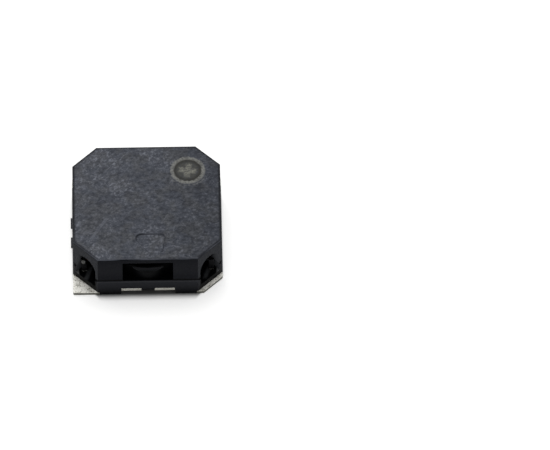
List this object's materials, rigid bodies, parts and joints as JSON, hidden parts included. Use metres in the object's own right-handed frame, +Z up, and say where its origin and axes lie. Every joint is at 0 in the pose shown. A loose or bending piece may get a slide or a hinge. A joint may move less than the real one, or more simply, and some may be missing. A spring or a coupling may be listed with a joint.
{
  "type": "magnetic buzzer",
  "caption": "Square surface-mount magnetic buzzer with cut corners, a side sound window, four corner arches and four corner solder pads.",
  "frame": {"origin": "middle of the square footprint, on the solder plane under the pads", "axes": "+Z up through the lid, -Y out of the sound window, +X to the right seen from the window's side; the plus mark is in the +X +Y corner"},
  "size_m": [0.0087, 0.0086, 0.003],
  "materials": {
    "black_moulding": "fine matt grain",
    "tin_plate": "matt tin plating",
    "plated_iron": "nickel plating",
    "enamelled_copper": "clear enamel",
    "magnet": "dull grey",
    "spring_steel": "rolled",
    "solder": "bright solder"
  },
  "bodies": {
    "root": {"upper_case": "black_moulding", "base_housing": "black_moulding", "terminal_front_left": "tin_plate", "terminal_front_right": "tin_plate", "terminal_back_left": "tin_plate", "terminal_back_right": "tin_plate", "yoke_plate": "plated_iron", "pole_core": "plated_iron", "coil": "enamelled_copper", "magnet_ring": "magnet", "diaphragm": "spring_steel", "armature_disc": "spring_steel", "coil_lead_start": "enamelled_copper", "coil_lead_finish": "enamelled_copper", "solder_joint_start": "solder", "solder_joint_finish": "solder"}
  },
  "joints": []
}
